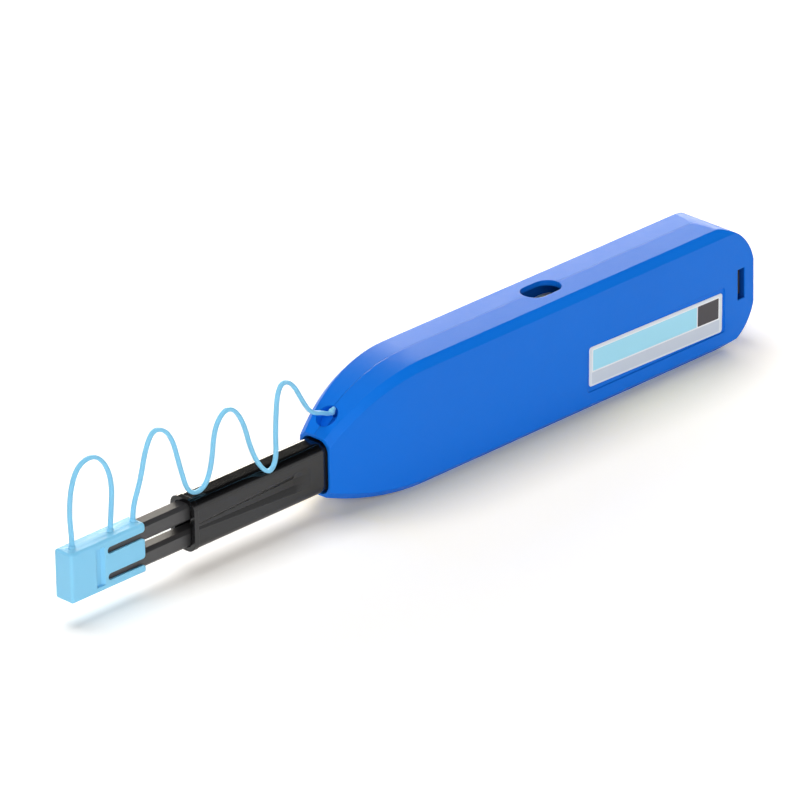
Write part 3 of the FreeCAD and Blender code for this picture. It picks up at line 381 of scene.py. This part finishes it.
def ground_steel(name, tint, stretch):
    finish = Finish(name)
    streaks = finish.node("ShaderNodeMapping", None, {"Vector": finish.place, "Scale": stretch})
    fine = finish.noise(900.0, 3.0, 0.6, streaks)
    finish.set(
        Base_Color=finish.blend(fine, tint, colour(205, 205, 208)),
        Metallic=1.0,
        Roughness=0.2 + 0.2 * fine,
        Normal=finish.bump(fine, 0.00001, 0.4, finish.rounded(0.0001)),
    )
    return finish


axle_steel = ground_steel("axle_steel", colour(186, 186, 190), (1.0, 12.0, 1.0))
spring_steel = ground_steel("spring_steel", colour(150, 150, 156), (6.0, 1.0, 1.0))


def fibre(name, tint, shade, strand):
    """Twisted fibres: bands of bump across the thread, with loose fibres over them, and a painted shade
    where the bands sink.
    """
    finish = Finish(name)
    twist = finish.node("ShaderNodeTexWave", {"wave_type": "BANDS", "bands_direction": "DIAGONAL"},
                        {"Vector": finish.place, "Scale": strand, "Distortion": 2.0, "Detail": 1.0})
    fuzz = finish.noise(6000.0, 2.0)
    height = twist * 0.7 + fuzz * 0.3
    # painted shade: the colour darkens where the twisted bands sink
    finish.set(
        Base_Color=finish.blend(height, shade, tint),
        Roughness=0.8 + 0.15 * fuzz,
        Normal=finish.bump(height, 0.00005, 0.7),
        Sheen_Weight=0.3,
    )
    return finish


thread_white = fibre("thread_white", colour(246, 246, 243), colour(205, 205, 202), 900.0)
print("metal and thread ready")

# %% [markdown]
# ## Label
#
# The label is a printed film in a shallow recess. Its print is drawn as plain shapes on the film's own
# flat coordinates: a silver ground, a light blue field outlined in white, a dark square at its right
# end, and a grey band below. It carries no words.

# %% Label print
LABEL_MIDDLE = Vector((25.7, -7.96, 10.25)) * MM
LABEL_TURN = math.radians(1.3)
LABEL_GROUND, LABEL_BAND = colour(232, 237, 243), colour(212, 220, 231)
LABEL_LINE, LABEL_FIELD, LABEL_DARK = colour(250, 252, 254), colour(171, 235, 255), colour(56, 52, 58)


def printed_label():
    finish = Finish("label_print")
    finish.place = finish.node("ShaderNodeMapping", {"vector_type": "TEXTURE"}, {
        "Vector": finish.place, "Location": LABEL_MIDDLE, "Rotation": (0, LABEL_TURN, 0),
    })
    x, _, z = finish.split(finish.place)

    def panel(middle_x, middle_z, half_x, half_z, corner):
        """1 inside a rectangle with rounded corners, 0 outside, in millimetres."""
        over_x = ((x - middle_x * MM).size() - (half_x - corner) * MM).largest(0.0)
        over_z = ((z - middle_z * MM).size() - (half_z - corner) * MM).largest(0.0)
        return 1.0 - (over_x * over_x + over_z * over_z).over((corner * MM) ** 2)

    layers = (
        (panel(0, -2.95, 20.9, 1.4, 0.3), LABEL_BAND),
        (panel(0, 1.35, 20.9, 2.75, 0.3), LABEL_LINE),
        (panel(-3.6, 1.35, 17.0, 2.5, 0.15), LABEL_FIELD),
        (panel(17.15, 1.35, 3.45, 2.5, 0.15), LABEL_DARK),
    )
    colours = LABEL_GROUND
    for mask, tone in layers:
        colours = finish.blend(mask, colours, tone)
    paper = finish.noise(2500.0, 2.0)
    finish.set(
        Base_Color=colours,
        Roughness=0.3 + 0.12 * paper,
        Normal=finish.bump(paper, 0.000006, 0.5, finish.rounded(0.00008)),
    )
    return finish


label_print = printed_label()
print("label print ready")

# %% [markdown]
# ## Dressing the solid parts
#
# Each solid part gets the finish of its own slot. The shape stays as it is.

# %% Finishes on the frame's nodes
SLOT_FINISH = {
    "housing": housing_blue, "label": label_print, "steel": axle_steel, "spring_steel": spring_steel,
    "chassis": chassis_black, "sleeve": sleeve_black, "prongs": prong_grey, "cap": cap_blue,
    "gear": gear_white, "thread": thread_white, "tips": tip_white,
}


def dress(thing, finish):
    thing.data.materials.clear()
    thing.data.materials.append(finish.material)


node_slots = {part["node"]: part["material_slot"] for part in frame["record"]["subparts"]}
for name, node in frame["nodes"].items():
    dress(node, SLOT_FINISH[node_slots[name]])
print(len(node_slots), "nodes dressed")

# %% [markdown]
# ## Tether: the line
#
# A springy strand, moulded with the cap, loops from the cap along the nose to the housing, and its
# knob sits in a round hole there. A NURBS curve of order 3 turns a short list of control points into
# one smooth line, so the loops stay easy to move. Blender's own evaluation of that curve gives the
# points that the strand follows.

# %% Tether line
TETHER_LINE = (
    (-129.2, 0.0, 17.6), (-129.2, 0.0, 20.6), (-126.7, 0.0, 26.0), (-124.9, 0.0, 33.2),
    (-122.2, 0.0, 37.2), (-117.6, -0.3, 34.4), (-115.4, -0.6, 25.1), (-113.4, -0.8, 18.4),
    (-108.9, -1.0, 18.1), (-106.4, -0.9, 22.9), (-105.2, -0.8, 31.9), (-101.0, -0.8, 35.3),
    (-97.0, -0.9, 31.2), (-95.2, -2.0, 21.6), (-92.9, -4.1, 17.0), (-89.6, -3.6, 18.7),
    (-88.2, -2.0, 25.8), (-86.0, -0.8, 35.0), (-81.2, 0.0, 34.3), (-77.1, 0.0, 26.7),
    (-74.9, 0.0, 24.2), (-72.2, 0.0, 23.4), (-69.8, 0.0, 22.2), (-69.0, 0.0, 22.5),
)


def smooth_line(points, order=3, steps=14):
    """The points of a smooth line drawn by control points given in millimetres."""
    curve = bpy.data.curves.new("line", "CURVE")
    curve.dimensions = "3D"
    curve.resolution_u = steps
    spline = curve.splines.new("NURBS")
    spline.points.add(len(points) - 1)
    for point, place in zip(spline.points, points):
        point.co = (*(Vector(place) * MM), 1.0)
    spline.order_u = order
    spline.use_endpoint_u = True
    holder = bpy.data.objects.new("line", curve)
    mesh = bpy.data.meshes.new_from_object(holder)
    line = [vertex.co.copy() for vertex in mesh.vertices]
    bpy.data.objects.remove(holder)
    bpy.data.curves.remove(curve)
    bpy.data.meshes.remove(mesh)
    return line


tether_line = smooth_line(TETHER_LINE)
tether_length = sum((b - a).length for a, b in zip(tether_line, tether_line[1:]))
print("tether line:", len(tether_line), "points,", round(tether_length / MM, 1), "mm")

# %% [markdown]
# ## Tether: sweeping a strand
#
# The strand is square with rounded corners. A curve's own bevel would turn that square freely as the
# line twists, so the section is carried along by hand instead: one ring is extruded from point to
# point, and each new ring stands square to the line, with one side kept as near to the Y axis as it
# can.

# %% Sweeping a strand
STRAND_HALF = 0.00047


def rounded_square(count=20, sharpness=4.5):
    """A ring round the origin that is square with soft corners, one unit from the middle to a side."""
    ring = []
    for k in range(count):
        turn = 2 * math.pi * (k + 0.5) / count
        x, y = math.cos(turn), math.sin(turn)
        size = (abs(x) ** sharpness + abs(y) ** sharpness) ** (1 / sharpness)
        ring.append(Vector((x / size, y / size)))
    return ring


def sweep(line, section, half):
    """A closed tube: the section's ring, extruded along the line, with its half width."""
    shape = bmesh.new()
    corner_of = {}
    for k, point in enumerate(line):
        ahead = (line[min(k + 1, len(line) - 1)] - line[max(k - 1, 0)]).normalized()
        side = (Vector((0, 1, 0)) - ahead * ahead.y).normalized()
        up = ahead.cross(side)
        if k == 0:
            ring = bmesh.ops.create_circle(shape, segments=len(section), radius=1.0)["verts"]
            corner_of = dict(zip(ring, section))
        else:
            edges = [e for e in shape.edges if all(v in corner_of for v in e.verts)]
            grown = bmesh.ops.extrude_edge_only(shape, edges=edges)["geom"]
            new = [v for v in grown if isinstance(v, bmesh.types.BMVert)]
            corner_of = {v: next(corner_of[e.other_vert(v)] for e in v.link_edges
                                 if e.other_vert(v) in corner_of) for v in new}
        for vertex, corner in corner_of.items():
            vertex.co = point + (side * corner.x + up * corner.y) * half
    bmesh.ops.holes_fill(shape, edges=[e for e in shape.edges if e.is_boundary])
    bmesh.ops.recalc_face_normals(shape, faces=shape.faces)
    return shape


def piece_from(shape, name, finish, smooth=40.0):
    """Turns a bmesh into a dressed piece, with the flat look kept at edges sharper than an angle."""
    mesh = bpy.data.meshes.new(name)
    shape.to_mesh(mesh)
    shape.free()
    piece = bpy.data.objects.new(name, mesh)
    bpy.context.scene.collection.objects.link(piece)
    mesh.shade_smooth()
    mesh.set_sharp_from_angle(angle=math.radians(smooth))
    dress(piece, finish)
    return piece


section = rounded_square()
print("the strand's section has", len(section), "corners")

# %% [markdown]
# ## Tether: two spans and a knob
#
# The strand is made in two lengths, for a reason that the next cell gives. The knob at its end is a
# ball with a smaller one against it, where the melt was cut off.

# %% Tether spans
KNOB_PLACE = Vector((-69.0, 0.0, 22.5)) * MM
KNOB_RADIUS, STUB_RADIUS, STUB_STEP = 0.0008, 0.00055, 0.00075
STUB_WAY = Vector((0.743, 0, 0.669))
MEETING_X = -0.1113

meeting = next(k for k, point in enumerate(tether_line) if point.x > MEETING_X)
front_shape = sweep(tether_line[:meeting + 1], section, STRAND_HALF)
tether_front = piece_from(front_shape, "tether_front", cap_blue)
rear_shape = sweep(tether_line[meeting:], section, STRAND_HALF)
for radius, place in ((KNOB_RADIUS, KNOB_PLACE), (STUB_RADIUS, KNOB_PLACE + STUB_WAY * STUB_STEP)):
    bmesh.ops.create_uvsphere(rear_shape, u_segments=24, v_segments=14, radius=radius,
                              matrix=Matrix.Translation(place))
tether_rear = piece_from(rear_shape, "tether_rear", cap_blue)
print("tether spans:", len(tether_front.data.polygons), "and", len(tether_rear.data.polygons), "faces")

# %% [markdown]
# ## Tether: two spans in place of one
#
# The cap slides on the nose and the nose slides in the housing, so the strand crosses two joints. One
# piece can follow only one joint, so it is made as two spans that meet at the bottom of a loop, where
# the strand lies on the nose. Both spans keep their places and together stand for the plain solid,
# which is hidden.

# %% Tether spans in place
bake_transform(tether_front)
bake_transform(tether_rear)
for span in (tether_front, tether_rear):
    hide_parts("tether")

# %% [markdown]
# ## Carry loop
#
# The cap's own loop is the same strand as the tether, so it gets the same soft section. The plain cap
# already carries a sharp-edged loop, and a ready-made mesh is never edited in place. A copy of it is
# welded, cut flat just above the loop's roots and closed, and the new loop grows out of those roots.
# Welding loses the flat look of the large faces beside the narrow rounded edges, so the Weighted
# Normal modifier lets the larger face decide the shading. The finger grips' own edges are marked
# sharp, or the same modifier would wash them out.

# %% Cap body and carry loop
ROOT_CUT = 0.01805
GRIP_FRONT, GRIP_REAR, GRIP_INNER = -0.1431, -0.1397, 0.0012
GRIP_ANGLE = math.radians(12)
LOOP_LINE = (
    (-147.1, 0.0, 17.2), (-147.15, 0.0, 20.0), (-147.6, 0.0, 25.4), (-146.9, 0.0, 31.6),
    (-144.6, 0.0, 36.1), (-139.9, 0.0, 37.0), (-136.4, 0.0, 33.4), (-134.9, 0.0, 28.0),
    (-135.6, 0.0, 21.0), (-136.0, 0.0, 17.2),
)


def in_grip(edge):
    """Whether an edge belongs to one of the two finger grips in the cap's sides."""
    return all(GRIP_FRONT < v.co.x < GRIP_REAR and abs(v.co.y) > GRIP_INNER for v in edge.verts)


def cap_body():
    shape = bmesh.new()
    shape.from_mesh(frame["nodes"]["cap"].data)
    bmesh.ops.remove_doubles(shape, verts=shape.verts, dist=1e-6)
    everything = list(shape.verts) + list(shape.edges) + list(shape.faces)
    bmesh.ops.bisect_plane(shape, geom=everything, plane_co=(0, 0, ROOT_CUT), plane_no=(0, 0, 1),
                           clear_outer=True)
    open_edges = [e for e in shape.edges if e.is_boundary]
    bmesh.ops.holes_fill(shape, edges=open_edges)
    bmesh.ops.recalc_face_normals(shape, faces=shape.faces)
    print("cap cut above its roots:", len(open_edges), "edges closed,",
          sum(e.is_boundary for e in shape.edges), "left open")
    shape.edges.index_update()
    crisp = [e.index for e in shape.edges if in_grip(e) and e.calc_face_angle(0.0) > GRIP_ANGLE]
    body = piece_from(shape, "cap_body", cap_blue, 32.0)
    for index in crisp:
        body.data.edges[index].use_edge_sharp = True
    even = body.modifiers.new("even_faces", "WEIGHTED_NORMAL")
    even.weight = 100
    even.keep_sharp = True
    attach(body, "cap")
    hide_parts("cap")


def carry_loop():
    loop = piece_from(sweep(smooth_line(LOOP_LINE), section, STRAND_HALF), "carry_loop", cap_blue)
    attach(loop, "cap")
    return loop


cap_body()
print("carry loop top at", round(max(v.co.z for v in carry_loop().data.vertices) / MM, 2), "mm")

# %% [markdown]
# ## Rolls of thread
#
# Through the window the reels show their wound thread: not a smooth drum, but turns lying side by
# side. A profile with one low bump for each turn, spun round the reel's axis, gives that at little
# cost. The bore is left as wide as the reel's hub, so the roll is a closed ring.

# %% Thread rolls
TURN_WIDTH, TURN_RISE = 0.00034, 0.00006
TURN_PROFILE = ((0.0, 0.0), (0.25, 0.8), (0.5, 1.0), (0.75, 0.8))


def thread_roll(node, name, body):
    low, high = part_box(node)
    middle = (Vector(low) + Vector(high)) / 2
    outer, width = (high[0] - low[0]) / 2, high[1] - low[1]
    points = [vertex.co for vertex in frame["nodes"][node].data.vertices]
    bore = min(math.hypot(p.x - middle.x, p.z - middle.z) for p in points)
    turns = max(2, round(width / TURN_WIDTH))
    shape = bmesh.new()
    profile = [(bore, 0.0)]
    for k in range(turns):
        for share, rise in TURN_PROFILE:
            profile.append((outer - TURN_RISE * (1.0 - rise), width * (k + share) / turns))
    profile += [(outer - TURN_RISE, width), (bore, width)]
    corners = [shape.verts.new((middle.x + radius, low[1] + along, middle.z))
               for radius, along in profile]
    edges = [shape.edges.new(pair) for pair in zip(corners, corners[1:] + corners[:1])]
    bmesh.ops.spin(shape, geom=corners + edges, cent=middle, axis=(0, 1, 0), angle=2 * math.pi,
                   steps=72, use_merge=True)
    bmesh.ops.remove_doubles(shape, verts=shape.verts, dist=1e-7)
    bmesh.ops.recalc_face_normals(shape, faces=shape.faces)
    roll = piece_from(shape, name, thread_white, 60.0)
    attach(roll, body)
    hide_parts(node)
    print(name, "has", turns, "turns across")


thread_roll("supply_thread", "supply_roll", "supply")
thread_roll("take_up_thread", "take_up_roll", "take_up")

# %% [markdown] ## Coil springs The return spring and the two tip springs are pressed together as their joints move, which a rigid solid can't show. Each is made again as a round wire: a small ring of vertices, spun round the spring's axis with a little step along it each time, which makes a screw as long as the plain spring.

# %% Coil springs
STEPS_PER_TURN = 20
RETURN_TURNS, RETURN_WIRE, NOSE_TRAVEL = 6, 0.0008, 0.012
TIP_TURNS, TIP_WIRE, TIP_TRAVEL = 4, 0.0003, 0.0015


def coil(node, name, turns, wire, body):
    """A coil along X in the place of a plain one, as long as the plain one."""
    low, high = (Vector(corner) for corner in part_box(node))
    middle = (low + high) / 2
    mean = (high.y - low.y - wire) / 2
    steps = round(turns * STEPS_PER_TURN)
    start = Vector((low.x + wire / 2, middle.y, middle.z + mean))
    rise = (high.x - low.x - wire) / steps
    shape = bmesh.new()
    stand = Matrix.Translation(start) @ Matrix.Rotation(math.pi / 2, 4, "X")
    ring = bmesh.ops.create_circle(shape, segments=8, radius=wire / 2, matrix=stand)["verts"]
    bmesh.ops.spin(shape, geom=ring + list(shape.edges), cent=middle, axis=(1, 0, 0),
                   dvec=(rise, 0, 0), angle=2 * math.pi * turns, steps=steps)
    bmesh.ops.holes_fill(shape, edges=[e for e in shape.edges if e.is_boundary])
    bmesh.ops.recalc_face_normals(shape, faces=shape.faces)
    spring = piece_from(shape, name, spring_steel, 60.0)
    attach(spring, body)
    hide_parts(node)
    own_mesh(spring)


coil("return_spring", "return_coil", RETURN_TURNS, RETURN_WIRE, "housing")
for side in ("upper", "lower"):
    coil(f"tip_spring_{side}", f"tip_coil_{side}", TIP_TURNS, TIP_WIRE, "nose")

# %% [markdown]
# ## Label film
#
# The label is a thin film whose corners are cut round so that they don't lift. It is a flat block
# whose four upright edges are bevelled, and then turned with the printed pattern.

# %% Label film
LABEL_SIZE = Vector((43.6, 0.12, 9.6)) * MM
LABEL_CORNER = 0.7 * MM


def label_film():
    shape = bmesh.new()
    bmesh.ops.create_cube(shape, size=1.0, matrix=Matrix.Diagonal((*LABEL_SIZE, 1.0)))
    upright = [e for e in shape.edges if abs(e.verts[0].co.y - e.verts[1].co.y) > 0.5 * LABEL_SIZE.y]
    bmesh.ops.bevel(shape, geom=upright, offset=LABEL_CORNER, offset_type="OFFSET", segments=6,
                    profile=0.5, affect="EDGES", material=-1)
    turn = Matrix.Translation(LABEL_MIDDLE) @ Matrix.Rotation(LABEL_TURN, 4, "Y")
    bmesh.ops.transform(shape, matrix=turn, verts=shape.verts)
    bmesh.ops.recalc_face_normals(shape, faces=shape.faces)
    film = piece_from(shape, "label_film", label_print, 30.0)
    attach(film, "housing")
    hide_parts("label")
    return film


print("label film box", [round(v / MM, 2) for v in label_film().dimensions])

# %% [markdown]
# ## Floor
#
# The floor is plain for the light that falls on the pen. What a camera or a mirror sees of it is a
# little brighter, so that the paper looks white and its shadow keeps its depth. Blue light bounces off
# the housing into that shadow, so the shade beside the housing is warmed until it is a neutral grey.
# Far from the pen, the floor fades into the white behind it.

# %% Floor
FLOOR_HALF, FLOOR_GREY, FLOOR_DRIFT = 6.0, 0.86, 0.01
FLOOR_SEEN = (1.3, 1.28, 1.26, 1.0)
SHADE_SEEN = (1.3, 1.15, 0.78, 1.0)
SHADE_REACH, SHADE_GAIN = 0.045, 2.0
SHADE_START, SHADE_RAMP, SHADE_END = -0.083, 0.015, 0.15
FAR_FROM, FAR_RAMP = 0.35, 0.5


def add_floor():
    shape = bmesh.new()
    bmesh.ops.create_grid(shape, x_segments=1, y_segments=1, size=FLOOR_HALF)
    finish = Finish("floor_white")
    grain = finish.noise(60.0, 2.0)
    greys = (FLOOR_GREY - FLOOR_DRIFT, FLOOR_GREY + FLOOR_DRIFT)
    low, high = ((grey, grey, grey, 1.0) for grey in greys)
    finish.set(Base_Color=finish.blend(grain, low, high), Roughness=0.9, Specular_IOR_Level=0.0)
    plain = Value(finish, finish.shader.outputs[0])
    open_sky = finish.node("ShaderNodeAmbientOcclusion", {"samples": 8}, {"Distance": SHADE_REACH},
                           output="AO")
    along = finish.split(finish.place)[0]
    behind_nose = ((along - SHADE_START) / SHADE_RAMP).largest(0.0)
    beside_housing = behind_nose.math("MINIMUM", behind_nose, (SHADE_END - along) / SHADE_END)
    shade = SHADE_GAIN * (1.0 - open_sky) * beside_housing.math("MINIMUM", beside_housing, 1.0)
    seen = finish.node("ShaderNodeBsdfDiffuse", None,
                       {"Color": finish.blend(shade, FLOOR_SEEN, SHADE_SEEN)})
    straight, mirrored = (finish.node("ShaderNodeLightPath", output=ray)
                          for ray in ("Is Camera Ray", "Is Glossy Ray"))
    distance = finish.node("ShaderNodeVectorMath", {"operation": "LENGTH"}, {0: finish.place}, output=1)
    far = ((distance - FAR_FROM) / FAR_RAMP).largest(0.0)
    white = finish.node("ShaderNodeEmission", None, {"Color": (1, 1, 1, 1), "Strength": 1.0})
    backdrop = finish.node("ShaderNodeMixShader", None,
                           {0: far.math("MINIMUM", far, 1.0), 1: seen, 2: white})
    finish.feed(finish.output.inputs["Surface"], finish.node(
        "ShaderNodeMixShader", None, {0: straight + mirrored, 1: plain, 2: backdrop}))
    floor = piece_from(shape, "floor", finish)
    floor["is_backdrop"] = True
    return floor


print("floor, m:", [round(v, 1) for v in add_floor().dimensions])

# %% [markdown]
# ## Lamps
#
# Three softboxes. The key hangs above the pen on its far side, throws the soft shadow towards the
# viewer and isn't mirrored. The fill lights the side that is seen, and the low warm rim behind puts a
# haze on the top faces.

# %% Lamps
KEY_PLACE, KEY_AIM = Vector((-0.04, 0.3, 1.0)), Vector((-0.04, 0.0, 0.01))
KEY_SIZE, KEY_POWER = (0.75, 0.75), 7.0
FILL_PLACE, FILL_AIM = Vector((-0.82, -0.85, 0.42)), Vector((-0.04, 0.0, 0.01))
FILL_SIZE, FILL_POWER = (1.2, 0.8), 8.2
RIM_PLACE, RIM_AIM = Vector((0.55, 0.6, 0.2)), Vector((0.0, 0.0, 0.03))
RIM_SIZE, RIM_POWER, RIM_TINT = (0.9, 0.17), 6.0, (1.0, 0.92, 0.8)


def add_lamp(name, place, aim, size, power, mirrored):
    """A rectangular softbox; one that isn't mirrored lights the pen without a reflection of itself."""
    lamp = bpy.data.objects.new(name, bpy.data.lights.new(name, "AREA"))
    lamp.data.shape = "RECTANGLE"
    lamp.data.size, lamp.data.size_y = size
    lamp.data.energy = power
    turn = (place - aim).to_track_quat("Z", "Y").to_matrix().to_4x4()
    lamp.matrix_world = Matrix.Translation(place) @ turn
    lamp.visible_camera = False
    lamp.visible_glossy = mirrored
    bpy.context.scene.collection.objects.link(lamp)
    return lamp


key = add_lamp("key_softbox", KEY_PLACE, KEY_AIM, KEY_SIZE, KEY_POWER, mirrored=False)
fill = add_lamp("front_fill", FILL_PLACE, FILL_AIM, FILL_SIZE, FILL_POWER, mirrored=True)
rim = add_lamp("rim_panel", RIM_PLACE, RIM_AIM, RIM_SIZE, RIM_POWER, mirrored=True)
rim.data.color = RIM_TINT
print("lamps:", ", ".join(lamp.name for lamp in (key, fill, rim)))

# %% [markdown]
# ## Surround
#
# The world is white round the horizon and dark above it, like a studio with white walls and a black
# ceiling. The black ceiling is what a glossy upward face mirrors, so the nose's top stays black, while
# the white wall puts a bright line along its far edge. The wall glows more on one side. A camera looks
# past all this and sees plain white.

# %% World
WALL_STOPS = ((0.0, 1.0), (0.15, 1.0), (0.26, 0.6), (0.36, 0.08), (0.44, 0.02), (1.0, 0.02))
WALL_GLOW, GLOW_SIDE = 0.8, (0.70, 0.71, 0.0)


def light_world():
    """A surround that depends on the direction; a camera sees it as plain white."""
    world = bpy.data.worlds.new("studio")
    world.use_nodes = True
    bpy.context.scene.world = world
    graph = Graph(world.node_tree)
    outlook = graph.node("ShaderNodeTexCoord", output="Generated")
    height = graph.split(outlook)[2]
    wall = graph.node("ShaderNodeValToRGB", {"stops": WALL_STOPS}, {"Fac": height.largest(0.0)})
    facing = graph.node("ShaderNodeVectorMath", {"operation": "DOT_PRODUCT"},
                        {0: outlook, 1: GLOW_SIDE}, output=1).largest(0.0)
    strength = 1.0 + WALL_GLOW * (facing * facing)
    studio = graph.node("ShaderNodeBackground", None, {"Color": wall, "Strength": strength})
    white = graph.node("ShaderNodeBackground", None, {"Color": (1, 1, 1, 1), "Strength": 1.0})
    seen = graph.node("ShaderNodeLightPath", output="Is Camera Ray")
    mixed = graph.node("ShaderNodeMixShader", None, {0: seen, 1: studio, 2: white})
    graph.feed(world.node_tree.nodes["World Output"].inputs["Surface"], mixed)


light_world()
scene = bpy.context.scene
scene.view_settings.view_transform = "Standard"
print("studio lit")

# %% [markdown] ## Sizes The box round the solid parts and the box round everything seen are printed side by side.

# %% Sizes
boxes = {"cad": cad_box, "visual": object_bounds()}
for name, (low, high) in boxes.items():
    print(name, "box, mm:", [round((b - a) / MM, 1) for a, b in zip(low, high)])
